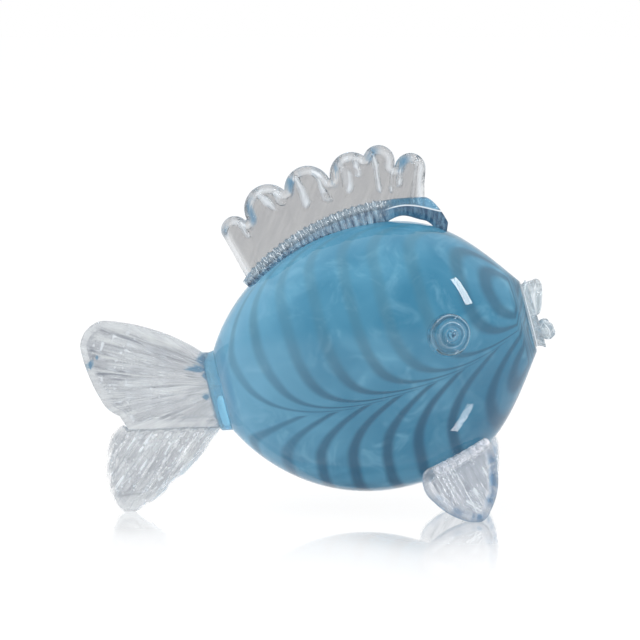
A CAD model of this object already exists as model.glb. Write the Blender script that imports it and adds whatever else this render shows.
import bmesh
import bpy
import numpy as np
from math import atan2, cos, pi, radians, sin, sqrt
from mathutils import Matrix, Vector


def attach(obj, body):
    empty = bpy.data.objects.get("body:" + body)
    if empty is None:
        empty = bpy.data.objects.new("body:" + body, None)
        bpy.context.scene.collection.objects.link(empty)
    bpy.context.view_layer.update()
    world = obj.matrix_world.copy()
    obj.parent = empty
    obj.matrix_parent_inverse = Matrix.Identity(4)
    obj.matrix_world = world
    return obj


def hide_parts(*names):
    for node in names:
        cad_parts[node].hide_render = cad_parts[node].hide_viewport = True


# Blown glass fish. Shapes are drawn in millimetres and written in metres.
# "Lean" points are on the body's axis: X to the mouth, Z over the back.
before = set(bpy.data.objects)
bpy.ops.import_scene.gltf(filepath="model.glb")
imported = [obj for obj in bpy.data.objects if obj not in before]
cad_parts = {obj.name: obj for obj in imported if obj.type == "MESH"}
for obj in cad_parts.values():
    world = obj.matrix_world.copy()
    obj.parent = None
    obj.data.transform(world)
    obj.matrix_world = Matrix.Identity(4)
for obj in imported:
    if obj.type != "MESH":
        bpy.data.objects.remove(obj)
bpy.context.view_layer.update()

MM = 0.001
PITCH = radians(13.6)
AXIS_X, AXIS_Z = 30.56, 87.2
HEAD, RUMP = 85.0, 84.0
BACK, BELLY, SIDE = 69.0, 75.0, 47.0
MEAN = (BACK + BELLY) / 2
FLAT = SIDE / MEAN
MOUTH_R, NECK_R = 19.4, 22.0
CREST_R, CREST_S, CREST_RISE = 125.0, 14.8, 9.6
CREST_Z = BACK + CREST_RISE - CREST_R
REAR_A, FRONT_A = -34.4, 14.4
FIN_H = 30.0


# ---- shape helpers
def join(*parts):
    """Points from their coordinates."""
    return np.stack(np.broadcast_arrays(*parts), -1)


def stand(points):
    """Lean points to the part's frame, in millimetres."""
    p = np.asarray(points, float)
    x, y, z = p[..., 0], p[..., 1], p[..., 2]
    return join(x * cos(PITCH) - z * sin(PITCH) + AXIS_X, y, x * sin(PITCH) + z * cos(PITCH) + AXIS_Z)


def clamped_spline(xs, ys, first, last):
    """Cubic through points with given end slopes: returns a function."""
    xs, ys = np.array(xs, float), np.array(ys, float)
    n, h = len(xs), np.diff(xs)
    a, b = np.zeros((n, n)), np.zeros(n)
    a[0, 0] = a[-1, -1] = 1
    b[0], b[-1] = first, last
    for i in range(1, n - 1):
        a[i, i - 1: i + 2] = 1 / h[i - 1], 2 / h[i - 1] + 2 / h[i], 1 / h[i]
        b[i] = 3 * ((ys[i] - ys[i - 1]) / h[i - 1] ** 2 + (ys[i + 1] - ys[i]) / h[i] ** 2)
    d = np.linalg.solve(a, b)

    def value(x):
        i = np.clip(np.searchsorted(xs, x) - 1, 0, n - 2)
        t = (x - xs[i]) / h[i]
        return (ys[i] * (1 + 2 * t) * (1 - t) ** 2 + ys[i + 1] * t * t * (3 - 2 * t)
                + h[i] * (d[i] * t * (1 - t) ** 2 - d[i + 1] * t * t * (1 - t)))
    return value


# the head's profile is a spline through stations and radii, the rear's is an arc
_hs = np.array([0, 0.41, 0.68, 0.88, 1]) * HEAD
_hr = np.array([MEAN, 0.93 * MEAN, 0.737 * MEAN, 0.465 * MEAN, MOUTH_R])
_head = clamped_spline(_hs, _hr, 0, (_hr[-1] - _hr[-2]) / (_hs[-1] - _hs[-2]))
_sag = MEAN - NECK_R
_rr = (RUMP ** 2 + _sag ** 2) / (2 * _sag)


def radius_at(s):
    """Radius of the body of revolution, before its back, belly and sides are scaled."""
    s = np.asarray(s, float)
    rear = MEAN - _rr + np.sqrt(_rr ** 2 - np.minimum(s, 0) ** 2)
    return np.where(s > 0, _head(np.clip(s, 0, HEAD)), rear)


def body_surface(s, phi, inset=0.0):
    """Lean points of the body: phi 0 is the back, 90 degrees the right side (-Y)."""
    s, phi = np.broadcast_arrays(np.asarray(s, float), np.asarray(phi, float))
    e = 0.05
    slope = (radius_at(s + e) - radius_at(s - e)) / (2 * e)
    n = np.sqrt(1 + slope ** 2)
    r = radius_at(s) - inset / n
    x = s + inset * slope / n
    up = np.cos(phi)
    high = np.where(up > 0, (BACK - inset) / (MEAN - inset), (BELLY - inset) / (MEAN - inset))
    side = (SIDE - inset) / (MEAN - inset)
    return join(x, -np.sin(phi) * r * side, up * r * high)


def body_normal(s, phi):
    """Outward unit vectors on the body, in lean directions."""
    e = 0.01
    a = body_surface(s + e * 10, phi) - body_surface(s - e * 10, phi)
    b = body_surface(s, phi + e) - body_surface(s, phi - e)
    n = np.cross(a, b)
    n = n / np.linalg.norm(n, axis=-1, keepdims=True)
    out = body_surface(s, phi) * [0, 1, 1]
    return np.where((n * out).sum(-1, keepdims=True) < 0, -n, n)


def side_point(s, z):
    """Point on the right side of the body at a station and a height, with its angle."""
    r = float(radius_at(s))
    high = BACK / MEAN if z > 0 else BELLY / MEAN
    phi = atan2(sqrt(max(0, r * r - (z / high) ** 2)), z / high)
    return body_surface(s, phi), phi


def crest(share, rise):
    """Lean point over the back: a share of the fin's span, and a rise above its root arc."""
    a = np.radians(REAR_A + np.asarray(share, float) * (FRONT_A - REAR_A))
    r = CREST_R + np.asarray(rise, float)
    return join(CREST_S + r * np.sin(a), 0, CREST_Z + r * np.cos(a))


def add(name, data):
    """Puts a new object in the scene."""
    obj = bpy.data.objects.new(name, data)
    bpy.context.scene.collection.objects.link(obj)
    return obj


def make_mesh(name, points, faces, attributes=None, smooth=True):
    """Object from points in millimetres in the part's frame."""
    mesh = bpy.data.meshes.new(name)
    mesh.from_pydata((np.asarray(points) * MM).tolist(), [], [tuple(int(i) for i in f) for f in faces])
    for key, values in (attributes or {}).items():
        values = np.asarray(values, np.float32)
        kind, field = ("FLOAT", "value") if values.ndim == 1 else ("FLOAT_VECTOR", "vector")
        mesh.attributes.new(key, kind, "POINT").data.foreach_set(field, values.ravel())
    mesh.validate()
    mesh.polygons.foreach_set("use_smooth", [smooth] * len(mesh.polygons))
    return add(name, mesh)


def grid_faces(rows, cols, wrap=True):
    """Four-sided faces between rows of points."""
    r = np.arange(rows - 1)[:, None]
    c = np.arange(cols if wrap else cols - 1)[None, :]
    a, b = r * cols + c, r * cols + (c + 1) % cols
    return join(a, b, b + cols, a + cols).reshape(-1, 4)


def tube_surface(name, rings, attributes=None):
    """Closed surface from rings of points: rings[i, j] with j running round."""
    rows, cols = rings.shape[:2]
    points = np.vstack([rings.reshape(-1, 3), rings[0].mean(0), rings[-1].mean(0)])
    faces = grid_faces(rows, cols).tolist()
    a, b, base = rows * cols, rows * cols + 1, (rows - 1) * cols
    faces += [[a, (j + 1) % cols, j] for j in range(cols)]
    faces += [[b, base + j, base + (j + 1) % cols] for j in range(cols)]
    attributes = {k: np.concatenate([v, v[:1], v[-1:]]) for k, v in (attributes or {}).items()}
    return make_mesh(name, points, faces, attributes)


def polyline_distance(points, line):
    """Distance of each 2-D point to a polyline."""
    best = np.full(len(points), 1e9)
    for a, b in zip(line[:-1], line[1:]):
        ab = b - a
        t = np.clip(((points - a) @ ab) / max(ab @ ab, 1e-9), 0, 1)
        best = np.minimum(best, np.hypot(*(points - a - t[:, None] * ab).T))
    return best


def ramp(a, b, x):
    """Smooth step, 0 at a and 1 at b."""
    t = np.clip((x - a) / (b - a), 0, 1)
    return t * t * (3 - 2 * t)


def hump(x, at, width):
    """Smooth hump, 1 high."""
    return np.exp(-((x - at) / width) ** 2)


def turn(n):
    """Angles of n points round a circle."""
    return np.linspace(0, 2 * pi, n, endpoint=False)


def unit(v):
    return v / np.linalg.norm(v)


def stand_direction(v):
    """Lean direction as a unit vector in the part's frame."""
    return unit(stand(v) - stand(np.zeros(3)))


def respaced(table, n, endpoint=True):
    """Rows of a table at even steps along the line that its first two columns draw."""
    run = np.concatenate([[0], np.cumsum(np.hypot(*np.diff(table[:, :2], axis=0).T))])
    t = np.linspace(0, run[-1], n, endpoint=endpoint)
    return join(*(np.interp(t, run, column) for column in table.T))


def arc(a, b, c, n):
    """Points on the circle through three 2-D points, from a to c by way of b."""
    a, b, c = (np.array(p, float) for p in (a, b, c))
    m = 2 * np.array([b - a, c - a])
    centre = np.linalg.solve(m, np.array([b @ b - a @ a, c @ c - a @ a]))
    r = np.hypot(*(a - centre))
    t0, t1, t2 = (atan2(*(p - centre)[::-1]) for p in (a, b, c))
    sweep = (t2 - t0) % (2 * pi)
    if (t1 - t0) % (2 * pi) > sweep:
        sweep -= 2 * pi
    t = t0 + sweep * np.linspace(0, 1, n)
    return centre + r * join(np.cos(t), np.sin(t)), centre, r


def speckle(x, y, seed):
    """Smooth deterministic noise from 0 to 1 over a plane, with cells of one unit."""
    def cell(i, j):
        v = np.sin(i * 127.1 + j * 311.7 + seed * 74.7) * 43758.5453
        return v - np.floor(v)
    i, j = np.floor(x), np.floor(y)
    u, v = ramp(0, 1, x - i), ramp(0, 1, y - j)
    return ((cell(i, j) * (1 - u) + cell(i + 1, j) * u) * (1 - v)
            + (cell(i, j + 1) * (1 - u) + cell(i + 1, j + 1) * u) * v)


def patches(low, high, x, y, seed):
    """Speckle cut to patches: 0 below low, 1 above high."""
    return ramp(low, high, speckle(x, y, seed))


def rim_profile(d, rim, plate):
    """Half thickness at a distance d from the edge: a rolled rim, then the plate."""
    roll = np.sqrt(np.maximum(rim ** 2 - (rim - np.minimum(d, 2 * rim)) ** 2, 0))
    blend = ramp(rim * 1.0, rim * 2.3, d)
    return roll * (1 - blend) + np.where(d < rim, roll, np.maximum(roll * (1 - blend), plate)) * blend


def plate_piece(name, outline, centre, shape, to_space, around, steps, swell, attributes):
    """Closed plate with a shaped thickness: a polar grid inside an outline that is a star about its centre.

    shape(points, distance) gives half thickness and mid-plane offset, and to_space(points, side) places them.
    attributes are functions of points and distance from the edge."""
    closed = np.vstack([outline, outline[:1]])
    edge = respaced(closed, around, False)
    w = 1 - (1 - np.linspace(0, 1, steps + 1)[1:]) ** swell
    pts = centre + w[:, None, None] * (edge - centre)[None]
    flat = np.vstack([[centre], pts.reshape(-1, 2)])
    dist = polyline_distance(flat, closed)
    dist[-around:] = 0
    half, mid = shape(flat, dist)
    half[-around:] = 0
    n = len(flat)
    front, back = to_space(flat, mid - half), to_space(flat, mid + half)
    rim_start = n - around
    points = np.vstack([front, back[:rim_start]])
    grid = grid_faces(steps, around) + 1
    faces = [[0, 1 + (j + 1) % around, 1 + j] for j in range(around)] + grid[:, ::-1].tolist()
    faces += [[n, n + 1 + j, n + 1 + (j + 1) % around] for j in range(around)]
    faces += np.where(grid >= rim_start, grid, grid + n).tolist()
    both = np.r_[0:n, 0:rim_start]
    return make_mesh(name, points, faces, {f.__name__: f(flat, dist)[both] for f in attributes})


# ---- shader helpers
class Value:
    """Number in a node tree, which takes + - * / with plain numbers and other values."""

    def __init__(self, nodes, socket):
        self.nodes, self.socket = nodes, socket

    def __add__(self, other):
        return self.nodes.math("ADD", self, other)

    def __sub__(self, other):
        return self.nodes.math("SUBTRACT", self, other)

    def __rsub__(self, other):
        return self.nodes.math("SUBTRACT", other, self)

    def __mul__(self, other):
        return self.nodes.math("MULTIPLY", self, other)

    def __truediv__(self, other):
        return self.nodes.math("DIVIDE", self, other)

    def __rtruediv__(self, other):
        return self.nodes.math("DIVIDE", other, self)

    __radd__, __rmul__ = __add__, __mul__


class Nodes:
    """Short way to write the node tree of a material or a world."""

    def __init__(self, name, world=False):
        self.owner = (bpy.data.worlds if world else bpy.data.materials).new(name)
        self.owner.use_nodes = True
        self.tree = self.owner.node_tree
        self.tree.nodes.clear()
        self.out = self.new("OutputWorld" if world else "OutputMaterial")

    def feed(self, socket, value):
        value = getattr(value, "socket", value)
        if isinstance(value, bpy.types.NodeSocket):
            self.tree.links.new(value, socket)
        elif isinstance(value, tuple) and socket.type == "RGBA":
            socket.default_value = (*value, 1)
        else:
            socket.default_value = value

    def new(self, kind, *values, **named):
        """New node. Values go to its inputs in order, or to the input with that name if it has a capital."""
        node = self.tree.nodes.new("ShaderNode" + kind)
        for key, value in named.items():
            if key[0].islower():
                setattr(node, key, value)
            else:
                self.feed(node.inputs[key.replace("_", " ")], value)
        for socket, value in zip(node.inputs, values):
            self.feed(socket, value)
        return node

    def shader(self, kind, *values, **named):
        return self.new(kind, *values, **named).outputs[0]

    def value(self, kind, *values, **named):
        return Value(self, self.new(kind, *values, **named).outputs[0])

    def math(self, op, *values, clamp=False):
        return self.value("Math", *values, operation=op, use_clamp=clamp)

    def most(self, *values):
        """The highest of some values."""
        best = values[0]
        for value in values[1:]:
            best = self.math("MAXIMUM", best, value)
        return best

    def ramp(self, x, a, b):
        """Smooth step of x from a to b."""
        return self.value("MapRange", interpolation_type="SMOOTHSTEP", Value=x, From_Min=a, From_Max=b)

    def mix(self, f, a, b):
        node = self.new("Mix", f, data_type="RGBA")
        self.feed(node.inputs[6], a)
        self.feed(node.inputs[7], b)
        return node.outputs[2]

    def noise(self, vector, scale, detail=3.0, rough=0.55, distortion=0.0):
        return self.value("TexNoise", Vector=vector, Scale=scale, Detail=detail, Roughness=rough,
                          Distortion=distortion)

    def coords(self):
        return self.new("TexCoord").outputs["Object"]

    def split(self, vector):
        return [Value(self, socket) for socket in self.new("SeparateXYZ", vector).outputs]

    def attribute(self, name):
        return Value(self, self.new("Attribute", attribute_name=name).outputs["Fac"])

    def grain(self, *scale):
        """The grain attribute, scaled."""
        grain = self.new("Attribute", attribute_name="grain").outputs["Vector"]
        return self.shader("VectorMath", grain, scale, operation="MULTIPLY")

    def bump(self, height, strength, distance):
        return self.shader("Bump", Height=height, Strength=strength, Distance=distance)

    def solid(self, color, rough, normal=None, **sockets):
        node = self.new("BsdfPrincipled", Base_Color=color, Roughness=rough, **sockets)
        if normal is not None:
            self.feed(node.inputs["Normal"], normal)
        return node.outputs[0]

    def glass(self, color, rough, normal, clear=1.0, **sockets):
        return self.solid(color, rough, normal, Transmission_Weight=clear, IOR=1.5, **sockets)

    def mix_shader(self, f, a, b):
        return self.shader("MixShader", f, a, b)

    def rays(self, *kinds):
        """1 for rays of these kinds."""
        path = self.new("LightPath")
        return self.most(*(Value(self, path.outputs["Is %s Ray" % kind]) for kind in kinds))

    def through(self, shader, tint=(0.97, 0.98, 0.99)):
        """Lets lamp light and scattered light straight through, as thin clear glass does."""
        return self.mix_shader(self.rays("Shadow", "Diffuse"), shader, self.shader("BsdfTransparent", tint))

    def done(self, shader):
        self.feed(self.out.inputs["Surface"], shader)
        return self.owner


def srgb(r, g, b):
    """Colour as seen on screen, 0 to 255, as shader values."""
    return tuple(((c / 255 + 0.055) / 1.055) ** 2.4 if c > 10 else c / 255 / 12.92 for c in (r, g, b))


def body_coordinates(n):
    """Station along the body's axis in mm, angle round it in radians, and radius, from the part's frame."""
    x, y, z = n.split(n.coords())
    x, y, z = x * 1000 - AXIS_X, y * (-1000 / FLAT), z * 1000 - AXIS_Z
    s = x * cos(PITCH) + z * sin(PITCH)
    h = z * cos(PITCH) - x * sin(PITCH)
    return s, n.math("ARCTAN2", y, h), n.math("SQRT", y * y + h * h)


# place along the axis and half width of each dark ring, and the angles along which they are combed
RINGS = ((-78, 2.8), (-61, 2.9), (-43.5, 3.1), (-26.5, 3.2), (-8, 3.2), (8.5, 3.2), (27.5, 3.2), (48.5, 3.2),
         (60.5, 3.0), (72, 2.4))
PULLS = (4, 107, 195, 282)
# middle of the bubble, in metres
BUBBLE = (0.0435, -0.0445, 0.0972)


def combed(n, s, angle, radius):
    """How far the glass was pulled forwards, in mm."""
    push = None
    for pull in PULLS:
        away = n.math("WRAP", radians(pull + 1) - s * radians(0.06) - angle, pi, -pi) * radius
        above, below = n.math("MAXIMUM", away, 0), n.math("MINIMUM", away, 0)
        before = 62.0 / (1.0 + above / 3.2) * (1.0 - n.math("DIVIDE", above, 120.0, clamp=True))
        after = (34.0 if pull > 50 else 26.0) * n.math("EXPONENT", below / 12.5)
        ahead = n.math("GREATER_THAN", away, 0)
        one = before * ahead + after * (1 - ahead)
        push = n.math("SMOOTH_MAX", push, one, 6.0) if push else one
    return push


def blue_layer_material():
    """Blue glass with darker rings, combed forwards along lines from mouth to tail."""
    n = Nodes("blue_layer")
    s, angle, radius = body_coordinates(n)
    coords = n.coords()
    wander = (n.noise(coords, 22, 2) - 0.5) * 5.0
    base = s - combed(n, s, angle, radius) + wander
    bands = n.most(*(n.ramp(n.math("ABSOLUTE", base - at), width * 1.5, width * 0.35) for at, width in RINGS))
    cloud = n.ramp(n.noise(coords, 26, 3, 0.5, 0.8), 0.34, 0.68)
    fine = n.ramp(n.noise(coords, 48, 4, 0.6, 1.6), 0.48, 0.74)
    x, _, z = n.split(coords)
    rear, head, top = n.ramp(x, 0.02, -0.06), n.ramp(x, 0.045, 0.09), n.ramp(z, 0.06, 0.125)
    blue = n.mix(cloud, srgb(60, 128, 158), srgb(86, 150, 178))
    blue = n.mix(rear * 0.7, blue, srgb(122, 182, 210))
    blue = n.mix(fine * 0.35, blue, srgb(136, 190, 212))
    blue = n.mix(head * n.ramp(z, 0.1, 0.075) * 0.6, blue, srgb(46, 106, 136))
    dark = n.mix(top, srgb(36, 84, 112), srgb(82, 122, 134))
    dark = n.mix(head * 0.8, dark, srgb(38, 84, 112))
    fade = n.ramp(n.noise(coords, 14, 2), 0.2, 0.6)
    plain = n.most(top, rear) * (1.0 - head)
    color = n.mix(bands * (0.58 + fade * 0.25 - plain * 0.48), blue, dark)
    near = Value(n, n.new("VectorMath", coords, BUBBLE, operation="DISTANCE").outputs["Value"])
    ring = n.ramp(n.math("ABSOLUTE", near - 0.0022), 0.0008, 0.0001)
    color = n.mix(ring * 0.35, color, srgb(190, 222, 236))
    return n.done(n.solid(color, 0.42, n.bump(n.noise(coords, 38, 2), 0.25, 0.004), Specular_IOR_Level=0.1))


CLEAR = (0.97, 0.985, 0.99)


def casing_material():
    """Clear glass with a slightly wavy skin."""
    n = Nodes("casing_glass")
    normal = n.bump(n.noise(n.coords(), 26, 2, 0.5, 0.3), 0.1, 0.002)
    return n.done(n.through(n.glass(CLEAR, 0.0, normal, Specular_IOR_Level=0.3)))


def fin_material(name, grey, light, dark, blue, dashes, fine, milk, clear):
    """Pressed clear glass: grey depth, fine streaks along the ribs, white glints, and blue from the body."""
    n = Nodes(name)
    frost, tone, tint, line = (n.attribute(key) for key in ("frost", "tone", "tint", "line"))
    streaks = n.noise(n.grain(0.06, 0.75 * fine, 1), 1.0, 4, 0.65, 0.2)
    broad = n.noise(n.grain(0.035, 0.24, 1), 1.0, 3, 0.55, 0.6)
    spots = n.noise(n.grain(0.1, 0.34, 1), 1.0, 3, 0.6, 0.9)
    shade = n.ramp(n.noise(n.grain(0.05, 0.9 * fine, 1), 1.0, 3, 0.6, 0.3), 0.6, 0.72)
    color = n.mix(n.ramp(streaks * 0.5 + broad * 0.5, 0.4, 0.62), grey, light)
    color = n.mix(shade * 0.8, color, dark)
    color = n.mix(n.math("MULTIPLY", line, -1.0, clamp=True), color, dark)
    color = n.mix(tone * clear, color, srgb(240, 242, 244))
    color = n.mix(tint, color, blue)
    bump = n.bump(streaks * 0.6 + broad, 0.5, 0.0014)
    dash = n.ramp(spots, 0.62, 0.7) * dashes
    cover = n.math("MAXIMUM", n.most(frost, dash), n.most(line, milk), clamp=True)
    pale = n.solid(srgb(236, 240, 243), 0.3, bump)
    return n.done(n.through(n.mix_shader(cover, n.glass(color, 0.02, bump), pale), (0.93, 0.95, 0.96)))


materials = {
    "blue": blue_layer_material(),
    "casing": casing_material(),
    "dorsal": fin_material("back_fin_glass", srgb(172, 172, 173), srgb(180, 180, 180), srgb(164, 164, 165),
                           srgb(70, 130, 165), dashes=0.0, fine=0.8, milk=0.04, clear=0.9),
    "tail": fin_material("tail_glass", srgb(164, 167, 172), srgb(212, 216, 217), srgb(92, 98, 110),
                         srgb(62, 116, 150), dashes=0.4, fine=1.7, milk=0.12, clear=0.55),
    "pectoral": fin_material("pectoral_glass", srgb(204, 206, 212), srgb(228, 230, 234), srgb(140, 148, 160),
                             srgb(64, 124, 168), dashes=0.15, fine=1.5, milk=0.16, clear=0.55),
    "mouth": fin_material("mouth_glass", srgb(206, 218, 220), srgb(230, 238, 238), srgb(96, 122, 132),
                          srgb(60, 110, 136), dashes=0.0, fine=1.2, milk=0.2, clear=0.3),
}


def dress(obj, material, node):
    """Gives a piece its material, and says what it rides on and the node it replaces."""
    obj.data.materials.append(materials[material])
    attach(obj, "root")
    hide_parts(node)


# ---- body
def body_rings(first, last, inset):
    rows, cols = 190, 240
    t = (1 - np.cos(np.linspace(0, pi, rows))) / 2
    s = first + (last - first) * (0.35 * t + 0.65 * np.linspace(0, 1, rows))
    return stand(body_surface(s[:, None], turn(cols)[None, :], inset))


dress(tube_surface("body_skin", body_rings(-RUMP, HEAD, 0)), "casing", "body_casing")
dress(tube_surface("blue_bulb", body_rings(-80, 80.5, 5.5)), "blue", "colour_layer")


# ---- mouth
def collar_piece():
    """Pleated collar, with a bright seam where the blue ends."""
    cols, rows = 180, 26
    phi = turn(cols)
    pleat = 0.35 * np.cos(17 * phi) + 0.25 * np.cos(29 * phi + 1)
    low = (1 - np.cos(phi)) / 2
    rings, lines = [], []

    def ring(s, r, line):
        rings.append(join(s, -np.sin(phi) * r * FLAT, np.cos(phi) * r))
        lines.append(line)

    for t in np.linspace(0, 1, rows):
        seam = ramp(0.42, 0.36, t) * ramp(0.26, 0.32, t)
        ring(HEAD - 1.5 + t * (4.4 + 2.6 * low),
             MOUTH_R - 0.9 - 1.6 * sin(pi * min(1, t * 1.1)) + pleat * min(1, t * 2),
             0.9 * seam + (1.1 * pleat - 0.1) * ramp(0.4, 0.7, t))
    for t in np.linspace(0, 1, 12)[1:]:
        ring(HEAD + 2.9 + 2.6 * low * (1 - t) - 3.2 * ramp(0.35, 1, t), MOUTH_R - 1.8 - 8.2 * t, 0.8 * pleat)
    rings = np.array(rings)
    return tube_surface("mouth_collar_glass", stand(rings), marks(phi * 12, rings[..., 0], np.array(lines)))


def marks(along, across, line, tint=0.0):
    """Attributes that a fin material reads."""
    along, across, line, tint = (v.ravel() for v in np.broadcast_arrays(along, across, line, tint))
    none = 0 * along
    return {"grain": join(along, across, 0), "frost": none, "tone": none + 0.95, "tint": tint, "line": line}


def lip_piece(name, ring, roll, offset, tilt, first, sweep, lumps, back, tint):
    """Rolled lip with grooves along it. Its rear side reaches back to the collar."""
    rows, cols = 150, 72
    u = np.linspace(0, 1, rows)[:, None]
    a = radians(first) + radians(sweep) * u
    b = turn(cols)[None]
    groove = np.cos(5 * b + 1.6 * np.sin(3 * a))
    thin = np.sqrt(np.clip(1 - np.abs(2 * u - 1) ** 7, 0.001, 1))
    r = roll * thin * (1 - lumps + lumps * np.cos(7 * pi * u)) * (0.96 + 0.04 * groove)
    behind = np.maximum(-np.sin(b), 0)
    rad = ring + r * np.cos(b) * (1 - 0.3 * behind)
    x = r * np.sin(b) * (1 + back * behind * (0.3 + 0.7 * np.abs(np.sin(a))))
    z, t = np.sin(a) * rad, radians(tilt)
    p = join(x * cos(t) + z * sin(t) + HEAD + offset, -np.cos(a) * rad * FLAT, z * cos(t) - x * sin(t))
    patch = patches(0.3, 0.6, a * 5, b * 1.5, 31)
    line = (0.8 * ramp(0.5, 0.95, groove) - 0.8 * ramp(-0.5, -0.95, groove)) * (0.35 + 0.65 * patch)
    return tube_surface(name, stand(p), marks(a * ring, b * roll, line, tint * patch))


dress(collar_piece(), "mouth", "mouth_collar")
dress(lip_piece("upper_lip_roll", ring=15.6, roll=3.6, offset=3.6, tilt=14, first=2, sweep=176, lumps=0.02,
                back=0.9, tint=0.0), "mouth", "upper_lip")
dress(lip_piece("lower_lip_roll", ring=11.4, roll=4.4, offset=5.6, tilt=-12, first=206, sweep=128, lumps=0.1,
                back=0.25, tint=0.7), "mouth", "lower_lip")


# ---- eyes
EYE_STATION, EYE_HEIGHT = 41.4, 5.4
EYE_R, EYE_DOME, BEAD_R = 11.4, 3.0, 2.3
# radius, width and strength of each ring: light above 0, dark below
EYE_RINGS = ((10.3, 0.35, 0.5), (9.2, 0.6, -0.8), (6.7, 0.35, 0.5), (5.5, 0.5, -0.6), (3.3, 0.3, 0.4))


def eye_material():
    """Clear disc with pressed rings, light on their ridges and dark in their grooves."""
    n = Nodes("eye_disc_glass")
    line = n.attribute("line")
    bump = n.bump(n.noise(n.coords(), 60, 2, 0.5, 0.3), 0.1, 0.002)
    color = n.mix(n.math("MULTIPLY", line, -1.0, clamp=True), CLEAR, srgb(80, 116, 140))
    pale = n.solid(srgb(190, 218, 232), 0.25, bump)
    return n.done(n.through(n.mix_shader(n.most(line, 0.0), n.glass(color, 0.0, bump), pale)))


def bead_material():
    """Blue bead with a pale swirl."""
    n = Nodes("eye_bead_blue")
    swirl = n.ramp(n.noise(n.coords(), 420, 3, 0.6, 1.5), 0.35, 0.65)
    color = n.mix(swirl, srgb(40, 88, 118), srgb(120, 176, 204))
    return n.done(n.glass(color, 0.05, n.bump(swirl, 0.2, 0.0005), clear=0.15))


def eye_pieces(word):
    """Clear prunt with pressed rings, and the bead in its middle."""
    point, phi = side_point(EYE_STATION, EYE_HEIGHT)
    normal = body_normal(EYE_STATION, phi)
    if word == "left":
        point, normal = point * [1, -1, 1], normal * [1, -1, 1]
    point, tip = stand(point), stand_direction(normal)
    east = unit(np.cross([0, 0, 1], tip))
    north = np.cross(tip, east)

    def spokes(a):
        return np.cos(a)[:, None] * east + np.sin(a)[:, None] * north

    # over the dome, over its edge and down its wall
    r = np.concatenate([np.linspace(0.02, 11.0, 56), np.linspace(11.1, EYE_R, 5), np.full(5, EYE_R)])
    dome = (EYE_R ** 2 + EYE_DOME ** 2) / (2 * EYE_DOME)
    h = EYE_DOME - dome + np.sqrt(dome ** 2 - np.minimum(r, EYE_R - 0.01) ** 2)
    h += 1.25 * hump(r, 6.2, 1.15) - 1.2 * hump(r, 0, 2.0) - 0.5 * hump(r, 3.4, 0.9)
    h[56:61] -= np.linspace(0.1, 0.9, 5)
    h[61:] = h[60] - np.linspace(0.6, 4.2, 5)
    a = turn(120)
    uneven = 1 + 0.025 * np.sin(2 * a + 0.6) + 0.012 * np.sin(5 * a)
    p = point + r[:, None, None] * uneven[:, None] * spokes(a) + h[:, None, None] * tip
    rings = sum(value * hump(r, at, width) for at, width, value in EYE_RINGS)
    line = (rings[:, None] * (0.65 + 0.35 * np.sin(a + 1))[None])[::-1]
    prunt = tube_surface("eye_prunt_" + word, p[::-1], {"line": line.ravel()})
    dress(prunt, "eye", "eye_disc_" + word)
    b = np.linspace(0.02, pi - 0.02, 25)[:, None, None]
    p = point + tip * EYE_DOME + BEAD_R * (np.sin(b) * spokes(turn(48)) + 0.8 * np.cos(b) * tip)
    dress(tube_surface("eye_bead_glass_" + word, p), "bead", "eye_bead_" + word)


materials["bead"] = bead_material()
materials["eye"] = eye_material()
for word in ("right", "left"):
    eye_pieces(word)


# ---- back fin
# three points on each scallop, as a share along the back and a share of FIN_H
PETALS = (
    ((0.072, 0.79), (0.113, 0.874), (0.144, 0.729)),
    ((0.198, 0.717), (0.272, 0.99), (0.351, 0.752)),
    ((0.395, 0.728), (0.479, 0.92), (0.547, 0.631)),
    ((0.599, 0.626), (0.651, 0.87), (0.724, 0.772)),
    ((0.758, 0.793), (0.815, 0.881), (0.838, 0.643)),
    ((0.887, 0.572), (0.944, 0.694), (0.971, 0.456)),
)
# petal position, reach into the fin, width and lean of each hanging fold
FOLDS = ((0.72, 9.0, 0.55, 0.1), (1.48, 11.5, 0.5, 0.18), (1.8, 7.5, 0.5, 0.05), (2.33, 15.0, 0.4, 0.13),
         (2.66, 12.0, 0.6, 0.25), (3.4, 13.0, 0.5, 0.25), (3.78, 11.0, 0.5, 0.05), (4.22, 16.0, 0.35, 0.3),
         (4.8, 14.0, 0.35, 0.1), (5.22, 11.0, 0.45, -0.05), (5.55, 12.0, 0.35, 0.05))
RIM = 3.0
FIN_GRAIN = 0.62  # lean of the streaks, in radians


def fin_outline():
    """Lean X, lean Z and petal number at each point of the back fin's outer edge."""
    lobes = []
    for petal in PETALS:
        line, centre, r = arc(*(crest(s, h * FIN_H)[[0, 2]] for s, h in petal), 60)
        lobes.append((centre + (line - centre) * (r + RIM) / r, centre, r + RIM))
    rows = []
    for k, (line, _, _) in enumerate(lobes):
        keep = np.ones(len(line), bool)
        # each scallop keeps only what lies outside its neighbours
        for _, centre, r in lobes[max(k - 1, 0):k] + lobes[k + 1:k + 2]:
            keep &= np.hypot(*(line - centre).T) > r - 0.05
        rows.append(np.column_stack([line, k + np.linspace(0, 1, len(line))])[keep])
    return np.vstack(rows)


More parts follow.
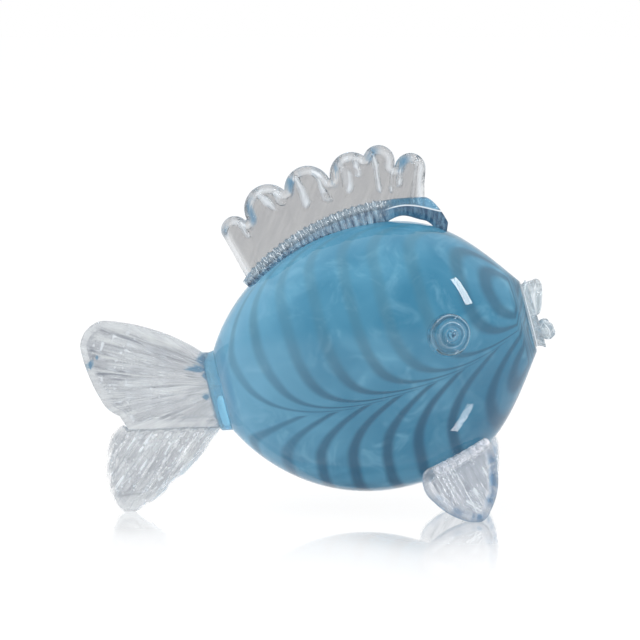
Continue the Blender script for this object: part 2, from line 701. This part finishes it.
def back_fin():
    """Closed sheet from the strip to the scalloped edge, with rolled rims and folds that hang from them."""
    cols, rows = 900, 76
    edge = respaced(fin_outline(), cols)
    edge, petal = edge[:, :2], edge[:, 2]
    share = np.linspace(0, 1, cols)
    base = crest(-0.03 + 1.027 * share, -4.0)[:, [0, 2]]
    w = 1 - (1 - np.linspace(0, 1, rows)) ** 1.8
    flat = base[None] + w[:, None, None] * (edge - base)[None]
    free = np.vstack([base[:1], edge, base[-1:]])
    d = polyline_distance(flat.reshape(-1, 2), np.vstack([free[:-1:2], free[-1:]])).reshape(rows, cols)
    rim = np.zeros((rows, cols), bool)
    rim[-1] = rim[:, 0] = rim[:, -1] = True
    d[rim] = 0
    rise, along = w[:, None] + 0 * d, petal + 0 * d
    x, z = flat[..., 0], flat[..., 1]

    # the two side edges are thinner; each fold is a short ridge that ends in a drop
    side = np.maximum(ramp(0.09, 0.03, share), ramp(0.93, 0.98, share)) * ramp(0.95, 0.75, rise)
    folds = 0 * d
    for at, reach, width, lean in FOLDS:
        centre = at + lean * np.clip(d / reach, 0, 1)
        wide = width * (0.5 + 0.75 * ramp(0.3, 0.95, d / reach))
        stop = ramp(reach + 1.2, reach - 0.8, d) * ramp(2.0, 4.0, d)
        folds = np.maximum(folds, hump(along, centre, wide * 0.16) * stop)
    half = rim_profile(d, RIM * (1 - 0.5 * side), 2.1) + 1.1 * folds * (d > 0)
    mid = 1.9 * np.cos(pi * petal) * ramp(0.15, 1, rise) + 0.35 * np.sin(along * 9.0 + 2 * rise)
    mid = mid * ramp(0.0, 0.5, rise)
    points = np.vstack([stand(join(x, y, z)).reshape(-1, 3) for y in (mid - half, mid + half)])
    n = rows * cols
    grid = grid_faces(rows, cols, False)
    faces = (grid.tolist() + (grid + n)[:, ::-1].tolist()
             + [[c, n + c, n + c + 1, c + 1] for c in range(cols - 1)])
    # join the two sides along the free edge, where they meet
    keep = np.arange(2 * n)
    ids = np.flatnonzero(rim.ravel())
    keep[n + ids] = ids
    faces = [tuple(dict.fromkeys(keep[list(f)])) for f in faces]
    faces = [f for f in faces if len(f) > 2]

    local = petal - np.floor(np.minimum(petal, len(PETALS) - 0.001))
    glow = ramp(0.45, 0.7, local) * hump(d, 2.7, 1.1)
    glow = glow * (0.35 + 0.65 * patches(0.35, 0.6, along * 7, d / 2.5, 41)) * ramp(0.97, 0.9, local)
    drops = np.maximum(folds - 0.35, 0) * (0.4 + patches(0.3, 0.6, along * 9, d / 3, 42))
    tint = hump(local, 0.27, 0.14) * hump(d, 3.0, 1.8) * patches(0.3, 0.5, along * 8, d / 1.5, 43)
    sparks = patches(0.75, 0.95, x / 0.8, z / 2.4, 3) * hump(rise, 0.1, 0.07)
    east, north = sin(FIN_GRAIN), cos(FIN_GRAIN)
    atts = {
        "grain": join(x * east + z * north, x * north - z * east, 0),
        "frost": np.clip(0.75 * drops + 0.85 * glow, 0, 1) * (1 - side),
        "tone": np.clip(0.6 * hump(d, 3.2, 1.2) + 0.8 * side * (d < 3), 0, 1),
        "tint": np.maximum(tint, 0.5 * hump(d, 0, 0.35)) * (1 - side),
        "line": 0.8 * sparks - 0.5 * hump(d, 4.6, 0.45) * (local > 0.1) * (1 - side),
    }
    atts = {key: np.concatenate([v.reshape(n, -1)] * 2).squeeze() for key, v in atts.items()}
    return drop_loose(make_mesh("ruffled_back_fin", points, faces, atts))


def drop_loose(obj):
    """Removes points that no face uses, and turns all faces outwards."""
    bm = bmesh.new()
    bm.from_mesh(obj.data)
    loose = [v for v in bm.verts if not v.link_faces]
    bmesh.ops.delete(bm, geom=loose, context="VERTS")
    bmesh.ops.recalc_face_normals(bm, faces=bm.faces)
    bm.to_mesh(obj.data)
    bm.free()
    return obj


def strip_piece():
    """Crimped strip along the back: small tooth marks, and in front a smooth saddle over an air gap."""
    u, a = np.linspace(-0.045, 1.13, 620)[:, None], turn(72)
    tooth = np.where((u > 0.0) & (u < 0.78), 0.5 + 0.5 * np.cos(2 * pi * u * 27), 0.0)
    tooth = tooth * ramp(-0.01, 0.03, u) * ramp(0.8, 0.74, u)
    fade = ramp(1.13, 0.99, u) * ramp(-0.045, 0.0, u)
    half_y = (4.9 + 1.1 * tooth) * (0.25 + 0.75 * fade)
    top = 0.4 + 0.8 * tooth - 260 * np.maximum(u - 1.0, 0) ** 1.5
    half_depth = (13.0 - 3.4 * hump(u, 0.875, 0.085) - 2.0 * ramp(1.06, 1.13, u)) / 2
    across, up = np.cos(a), np.sin(a)
    square = np.sign(up) * np.abs(up) ** 0.6
    rise = top - half_depth + half_depth * square * (0.9 + 0.1 * fade)
    share = u + 0 * rise
    p = crest(share, rise)
    p[..., 1] = half_y * np.sign(across) * np.abs(across) ** 0.75 * (0.78 + 0.22 * up)
    grain = join(rise, share * 106, 0)
    front = ramp(0.77, 0.85, share)
    return tube_surface("crimped_strip", stand(p), {
        "grain": grain.reshape(-1, 3), "teeth": (tooth + 0 * rise).ravel(), "front": front.ravel()})


def strip_material():
    """Pressed strip: pale sparks on top, dark and light ribs below, and a smooth blue saddle in front."""
    n = Nodes("crimped_glass")
    teeth, front = n.attribute("teeth"), n.attribute("front")
    rise, along, _ = n.split(n.grain(1, 1, 1))
    high = n.ramp(rise, -3.8, -1.8)
    coarse = n.ramp(n.noise(n.grain(0.16, 0.7, 1), 1.0, 3, 0.6, 0.8), 0.4, 0.6)
    spark = n.ramp(n.noise(n.grain(0.35, 1.3, 1), 1.0, 3, 0.6, 0.4), 0.54, 0.64)
    ribs = n.mix((teeth + coarse) * 0.5, srgb(30, 62, 94), srgb(170, 200, 218))
    ribs = n.mix(high * 0.8, ribs, srgb(206, 222, 232))
    # height over the curved white line of the saddle
    over = rise - (n.math("COSINE", (along - 94) * 0.12) * 1.8 - 5.2)
    saddle = n.mix(n.ramp(over, -0.3, 0.6), srgb(40, 78, 110), srgb(104, 160, 192))
    saddle = n.mix(n.ramp(along, 92, 84), saddle, srgb(92, 156, 192))
    saddle = n.mix(coarse * 0.35, saddle, srgb(150, 196, 220))
    bump = n.bump(n.noise(n.grain(0.2, 0.8, 1), 1.0, 3), 0.4, 0.0012)
    glass = n.glass(n.mix(front, ribs, saddle), 0.03, bump, clear=0.8)
    pale = n.solid(srgb(236, 241, 245), 0.25, bump)
    white_line = front * n.ramp(n.math("ABSOLUTE", over), 0.5, 0.2)
    sparks = spark * (high * 0.6 + 0.25) * (1.0 - front)
    return n.done(n.through(n.mix_shader(n.most(sparks, white_line), glass, pale), (0.9, 0.94, 0.96)))


dress(back_fin(), "dorsal", "dorsal_fin")
materials["strip"] = strip_material()
dress(strip_piece(), "strip", "dorsal_strip")


# ---- tail
TAIL = stand([-(RUMP + 6.0), 0, 0])[[0, 2]]
TAIL_X, TAIL_Z = TAIL
UPPER_SIZE, LOWER_SIZE = (66.0, 34.7), (66.0, TAIL_Z)
UPPER_ARCS = ((-0.102, 0.523), (-0.414, 0.824), (-0.878, 1.002), (-0.985, 0.875), (-1.019, 0.687),
              (-0.962, 0.311), (-0.858, -0.095), (-0.793, -0.242), (-0.737, -0.296))
LOWER_ARCS = ((0.085, -0.303), (-0.222, -0.66), (-0.575, -0.966), (-0.68, -1.01), (-0.789, -0.937),
              (-0.873, -0.643), (-0.844, -0.412), (-0.795, -0.327), (-0.724, -0.278))
SEAM = np.array(((-0.677, -0.62), (0.12, -0.55))) * UPPER_SIZE + TAIL


def arcs_line(points, size, origin, n):
    """Line over arcs that share their ends, with one point between. Points are in shares of a size."""
    points, parts = np.array(points) * size + origin, []
    for i in range(0, len(points) - 2, 2):
        line, _, _ = arc(*points[i:i + 3], n)
        parts.append(line[:-1])
    return np.vstack(parts + [line[-1:]])


def offset_line(line, by):
    """Moves an open line sideways, to its left for positive steps."""
    d = np.gradient(line, axis=0)
    n = join(-d[:, 1], d[:, 0]) / np.hypot(*d.T)[:, None]
    return line + n * by


def middle_plane(p, y):
    """Points of the middle plane moved to a depth y, in the part's frame."""
    return join(p[:, 0], y, p[:, 1])


# place from the tail's origin, length and height of each chip of blue seen in the root of the upper lobe
BLUE_CHIPS = ((-8.0, 12.3, 7.0, 1.6), (-5.0, 17.4, 3.4, 3.0), (-3.2, 9.0, 2.0, 2.2), (-3.0, -2.6, 2.2, 1.6),
              (-2.0, 21.5, 2.0, 2.0), (-65.0, 14.6, 1.2, 2.6), (-61.5, 18.4, 1.0, 1.2))


def upper_lobe():
    """Lobe with ribs and streaks in a fan about a hub."""
    edge = offset_line(arcs_line(UPPER_ARCS, UPPER_SIZE, TAIL, 30), -3.5)
    heel, root = SEAM
    outline = np.vstack([edge, [heel, (heel + root) / 2, root, [TAIL_X + 4.0, edge[0, 1]]]])
    hub = TAIL + [18.0, 5.0]
    rib_step = 6.4

    def polar(p):
        """Angle in degrees and distance in mm from the hub."""
        v = p - hub
        return np.degrees(np.arctan2(v[:, 1], v[:, 0])) % 360, np.hypot(*v.T)

    def shape(p, d):
        a, r = polar(p)
        ridge = np.abs(np.cos(pi * (a - 154.0) / rib_step))
        half = rim_profile(d, 3.6, 3.1) + 1.15 * ridge ** 1.6 * ramp(4, 12, d) * ramp(26, 44, r)
        root = ramp(TAIL_X - 16, TAIL_X + 6, p[:, 0])
        half = half * (1 - root) + root * np.minimum(half + 2.0, 3.6 * np.sqrt(np.maximum(d, 0)))
        return half, 0.7 * np.sin(0.09 * p[:, 0] + 0.4) * ramp(30, 60, r)

    def grain(p, d):
        a, r = polar(p)
        return join(r, np.radians(a) * 52, 0)

    def frost(p, d):
        a, r = polar(p)
        ridge = ramp(0.93, 1.0, np.abs(np.cos(pi * (a - 155.2) / rib_step)))
        return 0.5 * ridge * ramp(34, 46, r) * ramp(6, 12, d) * (0.4 + 0.6 * np.sin(r * 0.35 + a) ** 2)

    def line(p, d):
        a, r = polar(p)
        a = a + 1.2 * (speckle(r / 9, a / 4, 5) - 0.5)
        light = patches(0.8, 0.98, a / 0.8, r / 14, 1) * patches(0.3, 0.6, a / 5, r / 6, 2)
        dark = patches(0.62, 0.8, a / 0.9 + 40, r / 22, 7) * patches(0.2, 0.5, a / 6, r / 9, 4)
        blot = patches(0.7, 0.86, r / 2.2, a / 1.6, 9) * ramp(58, 66, r)
        inside = ramp(3.0, 5.5, d) * ramp(22, 32, r)
        border = hump(d, 4.2, 0.5) * patches(0.35, 0.7, a / 6, 0 * r, 8)
        return inside * (np.maximum(0.55 * light, 0.6 * blot) - 0.95 * dark * (light < 0.1)) - 0.7 * border

    def tone(p, d):
        middle = hump(polar(p)[1], 44, 15) * hump(p[:, 1] - TAIL_Z, -2, 14)
        return np.clip(0.6 * ramp(6.0, 2.0, d) + 0.55 * middle, 0, 1)

    def tint(p, d):
        t = 0 * d
        for x, z, long, high in BLUE_CHIPS:
            u, w = (p[:, 0] - TAIL_X - x) / long, (p[:, 1] - TAIL_Z - z) / high
            t = np.maximum(t, ramp(1.25, 0.8, np.abs(w) + np.maximum(-u, 0) + 2.0 * np.maximum(u - 0.3, 0)))
        return t

    return plate_piece("upper_tail_lobe", outline, TAIL + [-30.0, 3.0], shape, middle_plane, 900, 150, 1.25,
                       (grain, frost, tone, tint, line))


def lower_lobe():
    """Lobe with steep parallel ribs, and a small step in its front edge at each rib."""
    steep, rib_width, front_points = radians(57.0), 6.0, 112
    along, across = np.array([-cos(steep), -sin(steep)]), np.array([-sin(steep), cos(steep)])
    start = np.array(LOWER_ARCS[0]) * LOWER_SIZE + TAIL
    top = 0.722 * TAIL_Z + 1.2

    def ribs(p):
        """Number of ribs from the front edge, and distance along them in mm."""
        v = p - start
        return v @ across / rib_width, v @ along

    heel, root = SEAM
    outline = np.vstack([arcs_line(LOWER_ARCS, LOWER_SIZE, TAIL, 120),
                         [heel + [0, 1.5], (heel + root) / 2 + [0, 1.5], root + [-2.5, 0.5]]])
    step = ribs(outline[:front_points])[0] % 1.0
    stair = 1.3 * ramp(0.1, 0.3, step) * ramp(1.0, 0.72, step) - 0.3
    outline[:front_points] += np.array([0.62, -0.78]) * stair[:, None]
    outline[:, 1] = np.maximum(outline[:, 1], 0.0)

    def shape(p, d):
        ridge = np.abs(np.cos(pi * ribs(p)[0])) ** 1.4
        half = rim_profile(d, 3.0, 2.5) + 1.5 * ridge * ramp(0.6, 4, d) * ramp(9.0, 15.0, p[:, 1])
        return np.minimum(half, 4.3), 0.5 * np.sin(0.08 * p[:, 0])

    def grain(p, d):
        k, r = ribs(p)
        return join(r, k * rib_width + 40, 0)

    def frost(p, d):
        k, r = ribs(p)
        k = k + 0.1 * (speckle(r / 5, k * 2, 11) - 0.5)
        thick = 0.02 + 0.08 * speckle(r / 7 + 9, np.floor(k + 0.5), 12)
        streak = ramp(thick + 0.05, thick, np.abs((k - 0.12) - np.floor(k - 0.12 + 0.5)))
        broken = 0.65 * speckle(r / 8, np.floor(k + 0.38) * 3.7, 13) + 0.35 * speckle(r / 1.6, k * 9, 14)
        return 0.95 * streak * ramp(0.42, 0.6, broken) * ramp(1.5, 4, d) * ramp(8, 16, p[:, 1])

    def line(p, d):
        k, r = ribs(p)
        light = patches(0.8, 0.92, r / 2.0, k * 6, 15)
        groove = ramp(0.16, 0.05, np.abs(k - np.floor(k) - 0.62))
        dark = patches(0.78, 0.9, r / 3.2, k * 6 + 50, 16) + 0.5 * groove
        lip = hump(p[:, 1] - 10.5, 0.12 * (p[:, 0] - TAIL_X + 40), 0.7) * (p[:, 0] < TAIL_X - 38)
        return ramp(1.5, 3, d) * ramp(9, 13, p[:, 1]) * (0.7 * light - 0.55 * dark) - 0.6 * lip

    def tone(p, d):
        return np.clip(0.75 * ramp(4.0, 1.0, d) + 0.5 * ramp(10, 5, p[:, 1]), 0, 1)

    def tint(p, d):
        return 0.35 * hump(p[:, 0] - TAIL_X, 1, 4) * hump(p[:, 1] - top, -3, 3)

    return plate_piece("lower_tail_lobe", outline, (TAIL_X - 36.0, 30.0), shape, middle_plane, 900, 130, 1.25,
                       (grain, frost, tone, tint, line))


def stub_piece():
    """Stub between the neck and the tail: a soft pillow of glass, flattened towards the tail."""
    b, neck, rings = turn(140), NECK_R * FLAT, []
    for t in np.linspace(0, 1, 40):
        high, wide = 22.4 - 1.4 * t, neck + (8.6 - neck) * ramp(0, 1, t)
        swell = 1 + 0.05 * sin(pi * t)
        end = sqrt(max(1 - (max(0, t - 0.72) / 0.28) ** 2 * 0.97, 0.0))
        rings.append(join(1.0 - RUMP - 8.4 * t - 1.1 * sin(pi * t) * np.cos(b) ** 2,
                               -np.cos(b) * wide * swell * end, np.sin(b) * high * (0.55 + 0.45 * end) - 0.9))
    return tube_surface("tail_stub", stand(np.array(rings)))


def stub_material():
    """Blue glass, lighter next to the body."""
    n = Nodes("stub_glass")
    blue = n.mix(n.ramp(body_coordinates(n)[0], -90.6, -89.6), srgb(66, 128, 164), srgb(148, 212, 240))
    color = n.mix(n.ramp(n.noise(n.coords(), 60, 3), 0.35, 0.7) * 0.5, blue, srgb(172, 224, 244))
    bump = n.bump(n.noise(n.coords(), 60, 2), 0.2, 0.002)
    return n.done(n.through(n.glass(color, 0.02, bump, clear=0.75), (0.8, 0.9, 0.95)))


materials["stub"] = stub_material()
dress(stub_piece(), "stub", "tail_collar")
dress(upper_lobe(), "tail", "tail_upper_lobe")
dress(lower_lobe(), "tail", "tail_lower_lobe")


# ---- pectoral fins
# station and depth below the axis of each end of a root, rear end first
PECTORAL_ENDS = {"right": ((15.5, 67.0), (48.5, 58.0)), "left": ((15.5, 67.0), (53.0, 55.5))}
PECTORAL_ARCS = ((-0.06, 0.0), (-0.17, 0.22), (-0.14, 0.41), (-0.02, 0.71), (0.17, 0.94), (0.28, 1.0),
                 (0.41, 0.945), (0.66, 0.72), (0.81, 0.45), (0.89, 0.23), (0.89, 0.0))


def pectoral_space(name):
    """Where a flat drawing of a fin goes: a function, the length of its root and its reach to the floor."""
    (s0, d0), (s1, d1) = PECTORAL_ENDS[name]
    rear, front = stand(side_point(s0, -d0)[0]), stand(side_point(s1, -d1)[0])
    length = np.linalg.norm(front - rear)
    along, splay = (front - rear) / length, radians(18)
    hang = np.array([0, -sin(splay), -cos(splay)])
    down = unit(hang - along * (hang @ along))
    reach = (rear[2] + 0.2 * length * along[2] - 2.7) / (-0.96 * down[2])
    normal = np.cross(along, down)
    flip = np.array([1, -1 if name == "left" else 1, 1])

    def space(p, y):
        q = rear + p[:, :1] * along + p[:, 1:2] * down + np.asarray(y)[:, None] * normal
        q[:, 2] = np.maximum(q[:, 2], 0.0)
        return q * flip
    return space, length, reach


def pectoral_fin(name):
    """Fin with fine ribs, a blue rim and a forked fold at its tip."""
    space, length, reach = pectoral_space(name)
    edge = offset_line(arcs_line(PECTORAL_ARCS, (length, reach), (0, 0), 24), 3.0)
    outline = np.vstack([edge, [[edge[-1, 0] - 0.5, -3.5], [edge[0, 0] + 2.0, -3.5]]])

    def forks(p, lines, width):
        """Ridges on two lines given in shares of length and reach."""
        return np.maximum(*(hump(polyline_distance(p, line), 0, width)
                            for line in np.array(lines) * (length, reach)))

    def shape(p, d):
        ridge = np.abs(np.cos(pi * p[:, 0] / length * 15)) ** 1.5
        root = ramp(5, -2, p[:, 1])
        fold = forks(p, (((0.2, 0.66), (0.31, 0.92)), ((0.2, 0.66), (0.38, 0.86))), 0.9)
        half = rim_profile(d, 3.1, 2.4) * (1 - root) + root * np.minimum(3.2, 3.2 * np.sqrt(np.maximum(d, 0)))
        half = half + 0.4 * ridge * ramp(3.5, 8, d) + 0.8 * fold * ramp(0.5, 3, d)
        return half, 0.8 * np.sin(p[:, 0] / length * 5.0) * ramp(0, 12, p[:, 1])

    def grain(p, d):
        return join(p[:, 1], p[:, 0] + 30, 0)

    def frost(p, d):
        fold = forks(p, (((0.22, 0.7), (0.33, 0.93)), ((0.23, 0.7), (0.36, 0.88))), 0.8)
        return np.clip(0.8 * fold + 0.25 * hump(p[:, 1], 4.5, 1.2), 0, 1)

    def tone(p, d):
        return 0.5 * ramp(7, 3.5, d)

    def tint(p, d):
        x, y = p[:, 0], p[:, 1]
        low = np.maximum(ramp(0.25, 0.6, y / reach),
                         ramp(0.15, 0.45, x / length) * ramp(0.1, 0.4, y / reach))
        wave = 0.55 + 0.45 * np.sin(x * 0.55) * np.cos(y * 0.3)
        wave = wave * (0.3 + 0.7 * patches(0.25, 0.55, x / 1.6, y / 1.6, 23))
        return np.clip(1.4 * hump(d, 2.6, 2.0) * low * wave + 0.7 * ramp(0.9, 0.2, d), 0, 1)

    def line(p, d):
        x, y = p[:, 0], p[:, 1]
        light = patches(0.72, 0.88, x / 0.7, y / 7, 21)
        dark = patches(0.7, 0.86, x / 0.7 + 30, y / 8, 22)
        under = hump(y - 6.2, 0.8 * np.sin(x * 1.9), 0.5) * patches(0.2, 0.5, x / 2, 0 * x, 24)
        rim = ramp(0.7, 0.2, d) * ramp(2, 5, y)
        return ramp(4.0, 6.0, d) * (0.75 * light - 0.8 * dark * (light < 0.1)) - 0.7 * under - 0.5 * rim

    return plate_piece("pectoral_glass_" + name, outline, (0.34 * length, 0.36 * reach), shape, space,
                       640, 84, 1.3, (grain, frost, tone, tint, line))


def pectoral_root(name):
    """Beaded root: round tooth marks in a row where the fin is pressed on the body."""
    space, length, _ = pectoral_space(name)
    u, a = np.linspace(0, 1, 260)[:, None], turn(48)
    bead = np.abs(np.sin(pi * 8 * u)) ** 0.8
    ends = np.sqrt(np.clip(1 - np.abs(2 * u - 1) ** 10, 0.004, 1))
    y, off = 0.6 + (4.0 + 0.5 * bead) * ends * np.sin(a), (4.1 + 0.7 * bead) * ends * np.cos(a)
    grain = join(y, u * length, off).reshape(-1, 3)
    points = space(grain[:, [1, 0]], grain[:, 2]).reshape(*y.shape, 3)
    return tube_surface("pectoral_beads_" + name, points, {"grain": grain, "teeth": (bead + 0 * y).ravel()})


def root_material():
    """Pearly beads with bluer glass between them."""
    n = Nodes("beaded_glass")
    speck = n.ramp(n.noise(n.grain(0.45, 0.45, 0.45), 1.0, 3, 0.6, 0.8), 0.45, 0.6)
    color = n.mix(n.attribute("teeth"), srgb(150, 174, 194), srgb(236, 238, 242))
    bump = n.bump(speck, 0.4, 0.0008)
    pale = n.solid(srgb(243, 243, 248), 0.3, bump)
    return n.done(n.through(n.mix_shader((speck + 0.8) * 0.45, n.glass(color, 0.04, bump, clear=0.9), pale),
                            (0.9, 0.94, 0.96)))


materials["root"] = root_material()
for word in ("right", "left"):
    dress(pectoral_fin(word), "pectoral", "pectoral_fin_" + word)
    dress(pectoral_root(word), "root", "pectoral_root_" + word)


# ---- floor, world, lamps, camera
# distance from the fish's middle plane, in shares of 0.3 m, and how much the table mirrors there
MIRROR = ((0.0, 0.62), (0.08, 0.58), (0.15, 0.4), (0.21, 0.28), (0.26, 0.2), (0.31, 0.15), (0.41, 0.1),
          (0.5, 0.065), (0.67, 0.05), (0.87, 0.03), (1.0, 0.0))


def floor_material():
    """White table with a polish that mirrors what stands on it, strongest round its feet."""
    n = Nodes("white_floor")
    x, y, _ = n.split(n.coords())
    white = n.solid(n.mix(n.noise(n.coords(), 3, 1), (0.97, 0.97, 0.975), (0.99, 0.99, 0.99)), 0.3)
    matt = n.shader("AddShader", n.shader("BsdfDiffuse", (0.22, 0.22, 0.22)),
                    n.shader("Emission", (1, 1, 1), 0.84))
    curve = n.new("ValToRGB", (n.math("ABSOLUTE", y) - n.ramp(x, 0.0, 0.06) * 0.04) / 0.3)
    while len(curve.color_ramp.elements) < len(MIRROR):
        curve.color_ramp.elements.new(0.5)
    for element, (at, value) in zip(curve.color_ramp.elements, MIRROR):
        element.position, element.color = at, (value, value, value, 1)
    top = n.mix_shader(curve.outputs[0], matt, n.shader("BsdfGlossy", (1, 1, 1), 0.03))
    return n.done(n.mix_shader(n.rays("Camera", "Glossy", "Transmission"), white, top))


def studio():
    """World: white to the camera, darker on one side in reflections, cool and even for the rest."""
    n = Nodes("studio", world=True)
    _, y, z = n.split(n.new("TexCoord").outputs["Generated"])
    glow = n.most(n.ramp(y, -0.55, 0.35), n.ramp(z, 0.3, 0.06))
    back = n.shader("Background", n.mix(glow, (0.3, 0.32, 0.35), (1, 1, 1)), 1.0)
    lit = n.shader("Background", (0.93, 0.96, 1.0), 0.78)
    white = n.shader("Background", (1, 1, 1), 1.0)
    return n.done(n.mix_shader(n.rays("Camera"), n.mix_shader(n.rays("Glossy", "Transmission"), lit, back),
                               white))


floor = make_mesh("table_floor", [[-4000, -2500, 0], [4000, -2500, 0], [4000, 7000, 0], [-4000, 7000, 0]],
                  [[0, 1, 2, 3]], smooth=False)
floor.data.materials.append(floor_material())
bpy.context.scene.world = studio()
bpy.context.scene.view_settings.view_transform = "Standard"

AIM = np.array([1.4, 0.0, 104.66])
DISTANCE, ELEVATION, VIEW_WIDTH = 1600.0, radians(7.5), 343.68
forward = np.array([0.0, cos(ELEVATION), -sin(ELEVATION)])
camera = add("camera", bpy.data.cameras.new("camera"))
camera.data.sensor_width = 36.0
camera.data.lens = 36.0 * DISTANCE / VIEW_WIDTH
camera.location = (AIM - forward * DISTANCE) * MM
camera.rotation_euler = (pi / 2 - ELEVATION, 0, 0)
bpy.context.scene.camera = camera


def lamp(name, place, aim, width, height, power):
    data = bpy.data.lights.new(name, "AREA")
    data.shape, data.size, data.size_y, data.energy = "RECTANGLE", width, height, power
    obj = add(name, data)
    obj.location = place
    obj.rotation_euler = (Vector(aim) - Vector(place)).to_track_quat("-Z", "Y").to_euler()
    return obj


def glint_lamp(name, s, phi, distance, width, height, power):
    """Lamp whose mirror image falls on one spot of the body, seen from the camera."""
    p = stand(body_surface(s, radians(phi)))
    n = stand_direction(body_normal(s, radians(phi)))
    v = unit((AIM - forward * DISTANCE) - p)
    place = p * MM + (2 * (n @ v) * n - v) * distance
    return lamp(name, tuple(place), tuple(p * MM), width, height, power)


soft = lamp("overhead", (-0.5, -0.3, 1.7), (0, 0, 0.1), 1.4, 1.4, 14)
soft.visible_glossy = False
soft.visible_transmission = False
glint_lamp("window", 53.0, 62.0, 1.1, 0.14, 0.4, 2.4)
